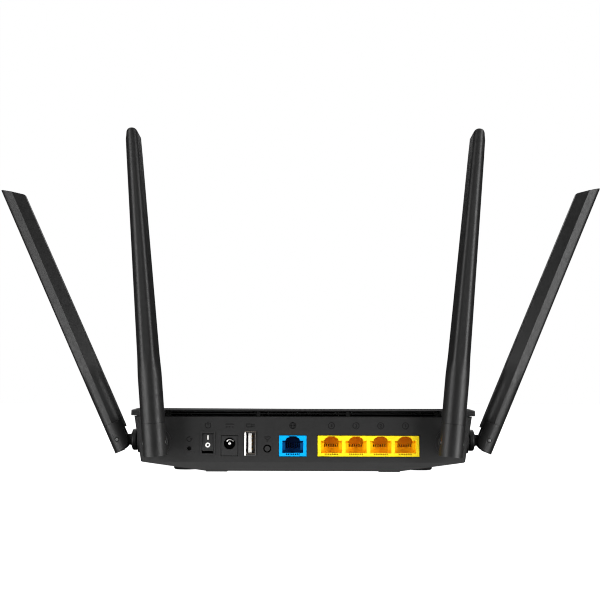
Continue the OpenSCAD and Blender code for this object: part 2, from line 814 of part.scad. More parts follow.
module sleeve(end) {
    color("#1a1a1b") at_pin(end) difference() {
        intersection() {
            translate([-sleeve_off, 0, -sleeve_end]) cylinder(r = sleeve_r, h = sleeve_h, $fn = round_fn);
            // Side profile: square at the outer foot, round and stepped back beside the case
            rotate([90, 0, 0]) translate([0, 0, -10]) linear_extrude(20) difference() {
                union() {
                    circle(r = foot_round, $fn = round_fn);
                    translate([-10, 0]) square([20, 30]);
                    translate([0, -10]) square([10, 20]);
                }
                translate([-10, -10]) square([10 - foot_in, 10 + foot_step]);
            }
        }
        translate([-10, -slot_half_w, -10]) cube([10 + slot_side, 2 * slot_half_w, 10 + slot_top]);
        rotate([90, 0, 0]) translate([0, 0, -10]) cylinder(r = pin_r, h = 20, $fn = 48);
        // Shallow seats round the ends of the pin
        for (side = [-1, 1])
            translate([0, side * (sleeve_r + 4.3), 0]) rotate([90, 0, 0])
                cylinder(r = pin_seat_r, h = 10, center = true, $fn = 48);
        translate([-sleeve_off, 0, seam_z - spigot_h]) cylinder(r = spigot_r, h = 10, $fn = round_fn);
    }
}

// Level cut through the faceted blade with half thickness t: flat edges and a ridge in the middle
module blade_cut(t) {
    e = t * 0.42;
    linear_extrude(slab) polygon([[blade_half_w, -e], [blade_half_w, e], [0.6, t], [-0.6, t],
        [-blade_half_w, e], [-blade_half_w, -e], [-0.6, -t], [0.6, -t]]);
}

module radome(end) {
    round_z = round_end - sleeve_end;
    facet_z = facet_start - sleeve_end;
    slant = atan(tip_drop / (2 * blade_half_w));
    color("#1a1a1b") at_pin(end) translate([-sleeve_off, 0, 0]) difference() {
        union() {
            translate([0, 0, seam_z - spigot_h]) cylinder(r = spigot_r, h = 5, $fn = round_fn);
            translate([0, 0, seam_z]) cylinder(r = sleeve_r, h = round_z - seam_z, $fn = round_fn);
            hull() {
                translate([0, 0, round_z - slab]) cylinder(r = sleeve_r, h = slab, $fn = 48);
                translate([0, 0, facet_z]) blade_cut(blade_half_t);
            }
            hull() {
                translate([0, 0, facet_z]) blade_cut(blade_half_t);
                translate([0, 0, pin_to_tip]) blade_cut(tip_half_t);
            }
        }
        // Slanted tip, high on the outer side
        translate([blade_half_w, 0, pin_to_tip]) rotate([0, -slant, 0]) translate([-40, -10, 0])
            cube([60, 20, 20]);
        // Room for the element and its lead
        cylinder(r = 3.9, h = round_z + 6, $fn = 48);
        translate([-3.8, -2.2, 0]) cube([7.6, 4.4, 150]);
    }
}

// Printed aerial strip with its lead
module element(end) {
    color("#b07a35") at_pin(end) translate([-sleeve_off, 0, 0]) {
        translate([-3.8, -0.4, 24]) cube([7.6, 0.8, 120]);
        translate([0, 0, seam_z]) cylinder(r = 0.65, h = 15, $fn = 24);
    }
}

top_cover();
bottom_case();
rear_vent_grille();
rubber_feet();
case_screws();
rating_plate();
main_pcb();
pcb_screws();
led_light_guides();
status_leds();
power_switch_frame();
power_inlet();
power_inlet_pin();
usb_shell();
usb_tongue();
usb_contacts();
wan_jack();
wan_contacts();
lan_jack();
lan_contacts();
pairing_switch();
reset_switch();
soc_chip();
thermal_pad();
heat_sink();
wifi_shields();
memory_chips();
lan_transformers();
electrolytic_capacitors();
power_inductors();
coax_cables();
power_rocker();
pairing_button();
reset_plunger();

for (e = ends) {
    swivel_base(e);
    swivel_clip(e);
    hinge_pin(e);
    sleeve(e);
    radome(e);
    element(e);
}
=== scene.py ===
"""Wireless router with four folding antennas: looks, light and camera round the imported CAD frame."""
import math

import bmesh
import bpy
import numpy as np
from mathutils import Matrix, Vector


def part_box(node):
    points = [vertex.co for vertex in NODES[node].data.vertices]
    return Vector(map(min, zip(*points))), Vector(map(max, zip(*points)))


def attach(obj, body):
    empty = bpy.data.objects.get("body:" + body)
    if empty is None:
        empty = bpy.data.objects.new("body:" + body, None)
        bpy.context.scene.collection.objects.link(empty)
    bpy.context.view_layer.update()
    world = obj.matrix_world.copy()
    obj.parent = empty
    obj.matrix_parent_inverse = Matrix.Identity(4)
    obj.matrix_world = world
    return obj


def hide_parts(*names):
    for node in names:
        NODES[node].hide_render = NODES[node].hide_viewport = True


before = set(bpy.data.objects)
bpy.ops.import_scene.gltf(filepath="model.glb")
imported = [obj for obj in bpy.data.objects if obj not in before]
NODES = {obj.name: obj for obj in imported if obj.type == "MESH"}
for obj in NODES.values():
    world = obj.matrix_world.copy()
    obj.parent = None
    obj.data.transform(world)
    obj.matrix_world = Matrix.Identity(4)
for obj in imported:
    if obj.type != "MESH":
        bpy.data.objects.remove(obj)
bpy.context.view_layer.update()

MM = 0.001


# ---- Places worked out from the frame ----


def middle(node):
    """Centre of a CAD node's box."""
    low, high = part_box(node)
    return (low + high) / 2


# The bosses of the rear swivels stand out from the rear panel by this much
BOSS_H = 1.0 * MM
CASE_X = middle("bottom_case").x
REAR_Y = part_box("bottom_case")[0].y + BOSS_H
# Height in millimetres of the main board's top, and of the sockets above it
BOARD_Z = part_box("main_pcb")[1].z / MM
JACK_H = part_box("wan_jack")[1].z / MM - BOARD_Z
ENDS = ("rear_left", "rear_right", "side_left", "side_right")
OUTWARD = {
    "rear_left": (0, -1, 0),
    "rear_right": (0, -1, 0),
    "side_left": (-1, 0, 0),
    "side_right": (1, 0, 0),
}


def in_case(x, depth, z):
    """Point given in millimetres: x from the middle of the case, depth from the rear panel, height."""
    return Vector((CASE_X + x * MM, REAR_Y + depth * MM, z * MM))


def on_panel(node):
    """x and height, in millimetres, of the middle of a node that shows on the rear panel."""
    centre = middle(node)
    return (centre.x - CASE_X) / MM, centre.z / MM


# ---- Camera ----

CAMERA_BACK = 600 * MM
CAMERA_HEIGHT = 40.14 * MM
CAMERA_UP = math.radians(5.5)
CAMERA_TURN = math.radians(0.185)
CAMERA_ROLL = math.radians(0.17)
CAMERA_LENS = 63.08
CAMERA_SENSOR = 36
CAMERA_CLIP = (0.01, 120)


def make_camera():
    data = bpy.data.cameras.new("camera")
    data.lens = CAMERA_LENS
    data.sensor_width = CAMERA_SENSOR
    data.clip_start, data.clip_end = CAMERA_CLIP
    camera = bpy.data.objects.new("camera", data)
    place = Matrix.Translation((CASE_X, REAR_Y - CAMERA_BACK, CAMERA_HEIGHT))
    turn = Matrix.Rotation(CAMERA_TURN, 4, "Z") @ Matrix.Rotation(math.pi / 2 + CAMERA_UP, 4, "X")
    camera.matrix_world = place @ turn @ Matrix.Rotation(CAMERA_ROLL, 4, "Z")
    bpy.context.scene.collection.objects.link(camera)
    bpy.context.scene.camera = camera


# ---- Materials ----

# Limits that most noise lies between
NOISE_LOW, NOISE_HIGH = 0.3, 0.7
# How far behind the rear panel a plastic has fully turned to its painted hole shade
PAINTED_HOLE_SHADE_DEPTH = 3 * MM
# Sizes of the patches that vary a moulded plastic's tone and roughness
BROAD_PATCH = 9 * MM
FINE_PATCH = 1.1 * MM
GLOSS_PATCH = 2.5 * MM
# Width and depth of the drawn marks on metal
DRAWN_MARKS = 0.4 * MM
DRAWN_DEPTH = 0.004 * MM
# How many of the circuit board's tracks and holes there are in a metre, and the radius of a hole in its cell
TRACK_SCALE = 260.0
HOLE_SCALE = 230.0
HOLE_R = 0.14


class Shader:
    """A material's node tree, with short calls to add and join its nodes."""

    def __init__(self, name):
        self.material = bpy.data.materials.new(name)
        self.material.use_nodes = True
        self.tree = self.material.node_tree
        self.surface = self.tree.nodes["Principled BSDF"]
        self.place = self.add("ShaderNodeTexCoord").outputs["Object"]

    def add(self, kind, **inputs):
        node = self.tree.nodes.new(kind)
        for name, value in inputs.items():
            self.put(node.inputs[name.replace("_", " ")], value)
        return node

    def put(self, socket, value):
        if isinstance(value, bpy.types.NodeSocket):
            self.tree.links.new(value, socket)
        else:
            socket.default_value = value

    def set(self, **inputs):
        for name, value in inputs.items():
            self.put(self.surface.inputs[name.replace("_", " ")], value)

    def noise(self, size, detail=2.0, stretch=(1, 1, 1)):
        """Noise from 0 to 1 with grains about size metres across, drawn out along an axis by stretch."""
        scaled = self.add("ShaderNodeVectorMath", Vector=self.place)
        scaled.operation = "MULTIPLY"
        scaled.inputs[1].default_value = [1 / s for s in stretch]
        node = self.add("ShaderNodeTexNoise", Vector=scaled.outputs[0], Scale=1 / size, Detail=detail)
        return node.outputs["Fac"]

    def spread(self, value, low, high):
        """Turns noise into a number from low to high."""
        return self.map_range(value, NOISE_LOW, NOISE_HIGH, low, high)

    def map_range(self, value, from_low, from_high, low=0.0, high=1.0):
        """Turns a number between two limits into one between low and high."""
        node = self.add("ShaderNodeMapRange", Value=value)
        limits = {"From Min": from_low, "From Max": from_high, "To Min": low, "To Max": high}
        for name, limit in limits.items():
            node.inputs[name].default_value = limit
        return node.outputs["Result"]

    def tint(self, factor, first, second):
        node = self.add("ShaderNodeMix")
        node.data_type = "RGBA"
        self.put(node.inputs["Factor"], factor)
        self.put(node.inputs[6], first)
        self.put(node.inputs[7], second)
        return node.outputs[2]

    def bump(self, height, depth):
        node = self.add("ShaderNodeBump", Height=height, Distance=depth, Strength=1.0)
        return node.outputs["Normal"]


def shade(colour, share):
    """The colour made lighter or darker by a share of itself."""
    return tuple(min(1.0, c * (1 + share)) for c in colour[:3]) + (1.0,)


def grey(value):
    return (value, value, value, 1.0)


def moulded(name, colour, rough, grain, depth, uneven, specular, inner=None):
    """Moulded plastic or rubber with a fine eroded grain; grain and depth are in millimetres.

    With an inner colour, the plastic turns to it behind the rear panel: painted shade for the insides of deep
    holes.
    """
    s = Shader(name)
    fine = s.noise(grain * MM, 1.5)
    broad = s.noise(BROAD_PATCH, 3)
    speckle = s.noise(FINE_PATCH, 2)
    tone = s.tint(s.spread(broad, 0, 1), shade(colour, -uneven / 2), shade(colour, uneven / 2))
    flecked = s.tint(s.spread(speckle, 0, 1), shade(colour, -uneven), shade(colour, uneven))
    base = s.tint(0.5, tone, flecked)
    # painted shade: the colour turns to the inner one deeper behind the rear panel
    if inner is not None:
        axes = s.add("ShaderNodeSeparateXYZ", Vector=s.place)
        base = s.tint(s.map_range(axes.outputs["Y"], REAR_Y, REAR_Y + PAINTED_HOLE_SHADE_DEPTH), base, inner)
    s.set(Base_Color=base, Specular_IOR_Level=specular)
    s.set(Roughness=s.spread(s.noise(GLOSS_PATCH, 3), rough - 0.05, rough + 0.05))
    s.set(Normal=s.bump(fine, depth * MM))
    return s.material


def metal(name, colour, rough, stretch):
    """Metal with fine drawn marks along the stretched axis."""
    s = Shader(name)
    marks = s.noise(DRAWN_MARKS, 3, stretch)
    s.set(Base_Color=s.tint(s.spread(marks, 0, 1), shade(colour, -0.12), shade(colour, 0.08)))
    s.set(Metallic=1.0, Roughness=s.spread(s.noise(1.5 * MM, 3, stretch), rough - 0.06, rough + 0.08))
    s.set(Normal=s.bump(marks, DRAWN_DEPTH))
    return s.material


def circuit_board(name):
    """Green solder mask over etched copper tracks, with rows of plated holes."""
    s = Shader(name)
    tracks = s.add("ShaderNodeTexBrick", Vector=s.place, Scale=TRACK_SCALE, Mortar_Size=0.06)
    tracks.offset = 0.35
    s.put(tracks.inputs["Color1"], (0.010, 0.085, 0.030, 1))
    s.put(tracks.inputs["Color2"], (0.014, 0.105, 0.038, 1))
    s.put(tracks.inputs["Mortar"], (0.022, 0.15, 0.055, 1))
    holes = s.add("ShaderNodeTexVoronoi", Vector=s.place, Scale=HOLE_SCALE, Randomness=0.85)
    near = s.add("ShaderNodeMath", Value=holes.outputs["Distance"])
    near.operation = "LESS_THAN"
    near.inputs[1].default_value = HOLE_R
    s.set(Base_Color=s.tint(near.outputs[0], tracks.outputs["Color"], (0.42, 0.36, 0.20, 1)))
    s.set(Roughness=s.spread(s.noise(3 * MM), 0.24, 0.36))
    s.set(Normal=s.bump(tracks.outputs["Fac"], 0.03 * MM))
    return s.material


def clear_plastic(name):
    s = Shader(name)
    s.set(Base_Color=(0.30, 0.32, 0.33, 1), Transmission_Weight=0.6, IOR=1.49)
    s.set(Roughness=s.spread(s.noise(0.8 * MM), 0.18, 0.34))
    s.set(Normal=s.bump(s.noise(0.5 * MM), 0.006 * MM))
    return s.material


PLAIN, SATIN, DULL, MATT = 0.5, 0.3, 0.2, 0.1
# Colour, roughness, grain and its depth in millimetres, unevenness of the colour, strength of the sheen
MOULDED = {
    "case_plastic": (grey(0.0085), 0.52, 0.3, 0.03, 0.10, SATIN),
    "cover_plastic": (grey(0.0085), 0.40, 0.4, 0.03, 0.10, SATIN),
    "antenna_plastic": (grey(0.0055), 0.44, 0.35, 0.02, 0.14, SATIN),
    "black_plastic": (grey(0.006), 0.42, 0.3, 0.01, 0.10, SATIN),
    # The grille's black is partly its own colour and partly painted shade of the vent recess under the lid
    "grille_black": (grey(0.002), 0.7, 0.4, 0.02, 0.2, DULL),
    "inlet_plastic": (grey(0.012), 0.5, 0.3, 0.015, 0.08, SATIN),
    # Swivel bases: darker than the other blacks, painted shade round the antennas' feet
    "swivel_plastic_painted_shade": (grey(0.002), 0.5, 0.35, 0.02, 0.14, DULL),
    "rocker_plastic": (grey(0.018), 0.38, 0.3, 0.012, 0.08, SATIN),
    "button_plastic": (grey(0.018), 0.42, 0.3, 0.012, 0.08, SATIN),
    "foot_rubber": (grey(0.003), 0.75, 0.5, 0.05, 0.25, DULL),
    "white_plastic": ((0.82, 0.81, 0.78, 1), 0.35, 0.4, 0.008, 0.03, PLAIN),
    "blue_plastic": ((0.0, 0.36, 0.86, 1), 0.4, 0.4, 0.008, 0.05, MATT),
    "yellow_plastic": ((0.92, 0.68, 0.012, 1), 0.4, 0.4, 0.008, 0.04, MATT),
    "chip_resin": (grey(0.018), 0.55, 0.25, 0.012, 0.15, PLAIN),
    "ferrite_black": (grey(0.030), 0.6, 0.25, 0.02, 0.2, PLAIN),
    "lead_jacket": (grey(0.022), 0.45, 0.3, 0.01, 0.1, PLAIN),
    "thermal_silicone": ((0.26, 0.36, 0.48, 1), 0.7, 0.4, 0.03, 0.1, PLAIN),
    "capacitor_sleeve": ((0.022, 0.026, 0.075, 1), 0.3, 0.5, 0.01, 0.08, PLAIN),
    "led_resin": ((0.72, 0.76, 0.60, 1), 0.3, 0.3, 0.005, 0.04, PLAIN),
    "label_foil": ((0.50, 0.50, 0.49, 1), 0.4, 0.6, 0.006, 0.05, PLAIN),
}
# Painted shade that the plastics with deep holes turn to inside them; the yellow's is a deep orange that paints
# the light bounced inside its sockets
PAINTED_HOLE_SHADE = {
    "inlet_plastic": grey(0.0005),
    "button_plastic": grey(0.0005),
    "blue_plastic": (0.0, 0.035, 0.13, 1),
    "yellow_plastic": (0.95, 0.50, 0.0, 1),
}
# Colour, roughness, and how far the drawn marks are stretched along each axis
METALS = {
    "dark_steel": (grey(0.16), 0.38, (1, 1, 1)),
    "plain_steel": (grey(0.56), 0.30, (6, 1, 1)),
    "socket_metal": ((0.72, 0.71, 0.69, 1), 0.26, (1, 8, 1)),
    "contact_gold": ((0.62, 0.40, 0.13, 1), 0.34, (1, 6, 1)),
    "shell_metal": ((0.15, 0.13, 0.11, 1), 0.45, (1, 8, 1)),
    "sink_aluminium": ((0.62, 0.63, 0.65, 1), 0.36, (1, 10, 1)),
    "element_copper": ((0.72, 0.40, 0.18, 1), 0.34, (1, 1, 8)),
}


def make_materials():
    """One finish for each material slot of the record, and a few finer ones."""
    made = {}
    for name, values in MOULDED.items():
        made[name] = moulded(name, *values, PAINTED_HOLE_SHADE.get(name))
    for name, values in METALS.items():
        made[name] = metal(name, *values)
    made["board_green"] = circuit_board("board_green")
    made["clear_acrylic"] = clear_plastic("clear_acrylic")
    return made


# ---- Mesh helpers ----

CLEAN_GROUP = "weld_and_smooth"
WELD_DISTANCE = 0.001 * MM
# Faces that meet at less than this many degrees are one flat face
FLAT_ANGLE = 0.2


def add_object(name, mesh):
    piece = bpy.data.objects.new(name, mesh)
    bpy.context.scene.collection.objects.link(piece)
    return piece


def piece_from(name, bm, body, slot, replaced=(), place=None, smooth=False):
    """Turns a bmesh into a finished piece that rides on a body."""
    bmesh.ops.recalc_face_normals(bm, faces=bm.faces)
    mesh = bpy.data.meshes.new(name)
    bm.to_mesh(mesh)
    bm.free()
    for polygon in mesh.polygons:
        polygon.use_smooth = smooth
    piece = add_object(name, mesh)
    if place is not None:
        piece.matrix_world = place
    mesh.materials.append(MATERIALS[slot])
    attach(piece, body)
    if replaced:
        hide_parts(*replaced)
    return piece


def add_box(bm, low, high):
    """Adds a box given by two opposite corners."""
    low, high = Vector(low), Vector(high)
    centre = Matrix.Translation((low + high) / 2)
    size = high - low
    bmesh.ops.create_cube(bm, size=1, matrix=centre @ Matrix.Diagonal((*size, 1)))


def bridge(bm, first, last):
    """Skins two closed loops of vertices that have the same number of vertices."""
    n = len(first)
    for i in range(n):
        bm.faces.new((first[i], first[(i + 1) % n], last[(i + 1) % n], last[i]))


def add_prism(bm, outline, way):
    """Adds the solid swept by a flat outline of points that moves by the vector way."""
    first = [bm.verts.new(p) for p in outline]
    last = [bm.verts.new(v.co + way) for v in first]
    bm.faces.new(first[::-1])
    bm.faces.new(last)
    bridge(bm, first, last)


def add_rings(bm, rings, cap_first=True, cap_last=True):
    """Skins a list of rings of points that all have the same number of points."""
    made = [[bm.verts.new(p) for p in ring] for ring in rings]
    for a, b in zip(made, made[1:]):
        bridge(bm, a, b)
    if cap_first:
        bm.faces.new(made[0][::-1])
    if cap_last:
        bm.faces.new(made[-1])


def rounded_outline(corners, radii, steps):
    """Closed outline through the corners, each rounded by an arc of its radius in a number of steps."""
    points = []
    n = len(corners)
    for i, (corner, radius) in enumerate(zip(corners, radii)):
        c = Vector(corner)
        before = (Vector(corners[i - 1]) - c).normalized()
        after = (Vector(corners[(i + 1) % n]) - c).normalized()
        half = before.angle(after) / 2
        centre = c + (before + after).normalized() * (radius / math.sin(half))
        first = c + before * (radius / math.tan(half)) - centre
        last = c + after * (radius / math.tan(half)) - centre
        for k in range(steps + 1):
            points.append(centre + first.lerp(last, k / steps).normalized() * radius)
    return points


def grown(outline, by):
    """The outline moved outwards by a distance."""
    made = []
    n = len(outline)
    for i, p in enumerate(outline):
        a = (p - outline[i - 1]).normalized()
        b = (outline[(i + 1) % n] - p).normalized()
        na, nb = Vector((a.y, -a.x)), Vector((b.y, -b.x))
        made.append(p + (na + nb) * (by / (1 + na.dot(nb))))
    return made


def rectangle(low, high):
    """Outline of a rectangle given by two opposite corners."""
    (x0, y0), (x1, y1) = low, high
    return [Vector((x0, y0)), Vector((x1, y0)), Vector((x1, y1)), Vector((x0, y1))]


def clean_group():
    """Node group that welds a CAD mesh along its edges and marks it smooth, made once."""
    group = bpy.data.node_groups.get(CLEAN_GROUP)
    if group:
        return group
    group = bpy.data.node_groups.new(CLEAN_GROUP, "GeometryNodeTree")
    group.interface.new_socket("Geometry", in_out="INPUT", socket_type="NodeSocketGeometry")
    group.interface.new_socket("Geometry", in_out="OUTPUT", socket_type="NodeSocketGeometry")
    start = group.nodes.new("NodeGroupInput")
    weld = group.nodes.new("GeometryNodeMergeByDistance")
    weld.inputs["Distance"].default_value = WELD_DISTANCE
    smooth = group.nodes.new("GeometryNodeSetShadeSmooth")
    end = group.nodes.new("NodeGroupOutput")
    group.links.new(start.outputs["Geometry"], weld.inputs["Geometry"])
    group.links.new(weld.outputs[0], smooth.inputs["Geometry"])
    group.links.new(smooth.outputs[0], end.inputs[0])
    return group


def soften(node, width, angle=28, merge_flat=True):
    """Rounds a CAD node's edges sharper than angle degrees by width millimetres, with modifiers only."""
    piece = NODES[node]
    piece.modifiers.new("clean", "NODES").node_group = clean_group()
    if merge_flat:
        flat = piece.modifiers.new("flat", "DECIMATE")
        flat.decimate_type = "DISSOLVE"
        flat.angle_limit = math.radians(FLAT_ANGLE)
    bevel = piece.modifiers.new("bevel", "BEVEL")
    bevel.width = width * MM
    bevel.segments = 2
    bevel.limit_method = "ANGLE"
    bevel.angle_limit = math.radians(angle)
    bevel.miter_outer = "MITER_ARC"
    weighted = piece.modifiers.new("weighted", "WEIGHTED_NORMAL")
    weighted.weight = 100
    weighted.keep_sharp = False


# ---- Network sockets ----

LAN_SOCKETS = 4
SOCKET_PITCH = 13.97
CONTACTS = 8
CONTACT_PITCH = 1.02
BLOCK_CHAMFER = 0.18
BLOCK_CORNER_R = 0.3
# Gaps between the block and its CAD node, below and above it
BLOCK_GAP = (0.2, 0.15)
# Half outline of a socket's mouth, as x and height above the board, from its foot to its latch notch
MOUTH = ((5.95, 2.1), (5.95, 9.0), (4.1, 9.05), (3.9, 9.75), (3.2, 10.55), (2.15, 10.95), (2.15, 11.45))
MOUTH_DEPTH = 13.0
MOUTH_RIM = 0.12
# Guide ribs at the sides of a mouth, and the corners under and over each rib, which start further back
RIB_X = (4.3, 6.2)
RIB_Z = (3.8, 7.9)
RIB_DEPTH = 2.6
CORNERS_Z = ((2.0, 3.9), (7.8, 9.1))
CORNER_DEPTH = 5.5
# Slots under a mouth, in its lower lip
LIP_SLOT_Z = (0.95, 1.85)
LIP_SLOT_HALF_W = 0.3
LIP_SLOT_DEPTH = 4.0
LIP_SLOT_RIM = 0.03
# Comb: a sill in front of its foot, a wall above it and teeth between its slots
COMB_HALF_W = 4.4
SILL_Z = 2.0
SILL_DEPTH = 7.0
COMB_DEPTH = 7.6
WALL_DEPTH = 9.4
WALL_TOP = 11.3
TOOTH_HALF_W = 0.22
TOOTH_OVERLAP = 0.1
# Lower and upper ends of the slots of the comb, above the board
WAN_COMB = (4.4, 7.4)
LAN_COMB = (5.3, 6.7)
# A spring's side view: depth, and height above the lower end of the comb's slots
SPRING_PATH = ((9.6, 0.1), (10.2, 0.2), (10.9, 0.35), (11.6, 0.4))
SPRING_HALF_W = 0.18
SPRING_HALF_T = 0.12
# Dark plate at the back of a socket, a painted shade where the socket is deep: half width, and depths from and
# to
SHADE_PLATE_HALF_W = 4.2
SHADE_PLATE_DEPTHS = (11.4, 12.8)
SHADE_PLATE_GAP = 0.02


def contact_x(i):
    return (i - (CONTACTS - 1) / 2) * CONTACT_PITCH


def mouth_outline(x):
    """Outline of the mouth of the socket at x, counter-clockwise as seen from outside."""
    right = [(x + px, pz) for px, pz in MOUTH]
    left = [(x - px, pz) for px, pz in reversed(MOUTH)]
    return [Vector(p) for p in right + left]


def loop_at(bm, outline, depth):
    """Loop of vertices for an outline of x and height above the board, at a depth behind the panel."""
    return [bm.verts.new(in_case(p.x, depth, BOARD_Z + p.y)) for p in outline]


def loop_edges(bm, loop):
    return [bm.edges.new((loop[i - 1], loop[i])) for i in range(len(loop))]


def add_pocket(bm, outline, front, depth, rim):
    """Adds a pocket with a chamfered rim; returns the edges of its mouth, which the front is filled to."""
    mouth = loop_at(bm, grown(outline, rim), front)
    edges = loop_edges(bm, mouth)
    inner = loop_at(bm, outline, front + rim)
    back = loop_at(bm, outline, front + depth)
    bridge(bm, mouth, inner)
    bridge(bm, inner, back)
    bm.faces.new(back)
    return edges


def socket_box(bm, x, low, high):
    """Box in a socket: low and high are x from the socket's middle, depth, height above the board."""
    add_box(bm, *(in_case(x + side, depth, BOARD_Z + z) for side, depth, z in (low, high)))


def add_block(bm, node):
    """Adds a block as big as its CAD node, without its front; returns the front's depth and edges."""
    low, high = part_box(node)
    front, back = (low.y - REAR_Y) / MM, (high.y - REAR_Y) / MM
    x0, x1 = (low.x - CASE_X) / MM, (high.x - CASE_X) / MM
    z0, z1 = BLOCK_GAP[0], JACK_H - BLOCK_GAP[1]
    outline = rounded_outline([(x0, z0), (x1, z0), (x1, z1), (x0, z1)], [BLOCK_CORNER_R] * 4, 3)
    rim = loop_at(bm, grown(outline, -BLOCK_CHAMFER), front)
    edges = loop_edges(bm, rim)
    side = loop_at(bm, outline, front + BLOCK_CHAMFER)
    end = loop_at(bm, outline, back)
    bridge(bm, rim, side)
    bridge(bm, side, end)
    bm.faces.new(end)
    return front, edges


def add_ribs(bm, x):
    """Adds the guide ribs and the corners under and over them to both sides of the socket at x."""
    for side in (-1, 1):
        x0, x1 = sorted(side * rib_x for rib_x in RIB_X)
        socket_box(bm, x, (x0, RIB_DEPTH, RIB_Z[0]), (x1, MOUTH_DEPTH, RIB_Z[1]))
        for bottom, top in CORNERS_Z:
            socket_box(bm, x, (x0, CORNER_DEPTH, bottom), (x1, MOUTH_DEPTH, top))


def add_comb(bm, x, comb):
    """Adds the sill, the wall and the teeth that guide the springs of the socket at x."""
    bottom, top = comb
    socket_box(bm, x, (-COMB_HALF_W, SILL_DEPTH, SILL_Z), (COMB_HALF_W, MOUTH_DEPTH, bottom))
    socket_box(bm, x, (-COMB_HALF_W, WALL_DEPTH, top), (COMB_HALF_W, MOUTH_DEPTH, WALL_TOP))
    for i in range(CONTACTS + 1):
        tooth = (i - CONTACTS / 2) * CONTACT_PITCH
        socket_box(bm, x, (tooth - TOOTH_HALF_W, COMB_DEPTH, bottom - TOOTH_OVERLAP),
                   (tooth + TOOTH_HALF_W, MOUTH_DEPTH, top + TOOTH_OVERLAP))


def make_socket_block(node, slot, centres, comb):
    """Block of moulded sockets with stepped mouths, guide ribs, combs, and slots in the lower lips."""
    bm = bmesh.new()
    front, edges = add_block(bm, node)
    for x in centres:
        edges += add_pocket(bm, mouth_outline(x), front, MOUTH_DEPTH, MOUTH_RIM)
        for i in range(CONTACTS):
            x0, x1 = x + contact_x(i) - LIP_SLOT_HALF_W, x + contact_x(i) + LIP_SLOT_HALF_W
            lip_slot = rectangle((x0, LIP_SLOT_Z[0]), (x1, LIP_SLOT_Z[1]))
            edges += add_pocket(bm, lip_slot, front, LIP_SLOT_DEPTH, LIP_SLOT_RIM)
    bmesh.ops.triangle_fill(bm, use_beauty=True, use_dissolve=False, edges=edges)
    for x in centres:
        add_ribs(bm, x)
        add_comb(bm, x, comb)
    piece_from(node + "_moulding", bm, "root", slot, [node])


def spring_rings(x, foot):
    """Rings of a flat spring at x that climbs backwards from a height in a socket."""
    rings = []
    for i, (depth, rise) in enumerate(SPRING_PATH):
        before = Vector(SPRING_PATH[max(i - 1, 0)])
        after = Vector(SPRING_PATH[min(i + 1, len(SPRING_PATH) - 1)])
        way = (after - before).normalized()
        up = Vector((-way.y, way.x)) * SPRING_HALF_T
        corners = [(-SPRING_HALF_W, 1), (SPRING_HALF_W, 1), (SPRING_HALF_W, -1), (-SPRING_HALF_W, -1)]
        z = BOARD_Z + foot + rise
        rings.append([in_case(x + w, depth + up.x * s, z + up.y * s) for w, s in corners])
    return rings


def make_socket_contacts(node, centres, comb):
    """Eight gold springs in each socket, which run back between the teeth of the comb."""
    bm = bmesh.new()
    for x in centres:
        for i in range(CONTACTS):
            add_rings(bm, spring_rings(x + contact_x(i), comb[0]))
    piece_from(node + "_springs", bm, "root", "contact_gold", [node])


def make_socket_shade_plates(combs):
    """Dark plate behind the comb of every socket, painted shade of its depths, given by pairs of a socket's
    middle and its comb.
    """
    bm = bmesh.new()
    for x, (bottom, top) in combs:
        socket_box(bm, x, (-SHADE_PLATE_HALF_W, SHADE_PLATE_DEPTHS[0], bottom + SHADE_PLATE_GAP),
                   (SHADE_PLATE_HALF_W, SHADE_PLATE_DEPTHS[1], top - SHADE_PLATE_GAP))
    # painted shade: a near black plate where the back of each socket lies in shade
    piece_from("socket_shade_plates", bm, "root", "grille_black")


def make_sockets():
    """Makes all the network sockets and returns the middles of the yellow ones."""
    wan = [on_panel("wan_jack")[0]]
    lan_mid = on_panel("lan_jack")[0]
    lan = [lan_mid + (i - (LAN_SOCKETS - 1) / 2) * SOCKET_PITCH for i in range(LAN_SOCKETS)]
    make_socket_block("wan_jack", "blue_plastic", wan, WAN_COMB)
    make_socket_block("lan_jack", "yellow_plastic", lan, LAN_COMB)
    make_socket_contacts("wan_contacts", wan, WAN_COMB)
    make_socket_contacts("lan_contacts", lan, LAN_COMB)
    make_socket_shade_plates([(x, WAN_COMB) for x in wan] + [(x, LAN_COMB) for x in lan])
    return lan


# ---- Marks ----

MARK_H = 0.12
# Width of a stroke's flat top as a share of its foot
MARK_TOP_SHARE = 0.7
STROKE = 0.6
DIGIT_STROKE = 0.5
SMALL_STROKE = 0.48
# Heights of the signs' middles
SIGN_Z = 26.4
RESET_SIGN_Z = 18.6
PAIRING_SIGN_Z = 18.8


def add_stroke(bm, points, width, height, closed):
    """Raised line of a width through flat points; +z is away from the surface."""
    n = len(points)
    pts = [Vector(p) for p in points]
    rows = []
    for i, p in enumerate(pts):
        before = pts[i - 1] if i > 0 or closed else p
        after = pts[(i + 1) % n] if i < n - 1 or closed else p
        way = (after - before).normalized()
        side = Vector((-way.y, way.x)) * (width / 2)
        top = side * MARK_TOP_SHARE
        rows.append([(p - side, 0), (p - top, height), (p + top, height), (p + side, 0)])
    rings = [[Vector((q.x, q.y, h)) for q, h in row] for row in rows]
    if closed:
        made = [[bm.verts.new(q) for q in ring] for ring in rings]
        for a, b in zip(made, made[1:] + made[:1]):
            bridge(bm, a, b)
    else:
        add_rings(bm, rings)


def arc(cx, cy, r, start, end, steps=16):
    """Points on an arc, in degrees counter-clockwise from the right."""
    turn = [math.radians(start + (end - start) * k / steps) for k in range(steps + 1)]
    return [(cx + r * math.cos(a), cy + r * math.sin(a)) for a in turn]


def ring_points(cx, cy, r, steps=28):
    """Points of a full circle, without the last one that would lie on the first."""
    return arc(cx, cy, r, 0, 360 * (1 - 1 / steps), steps - 1)


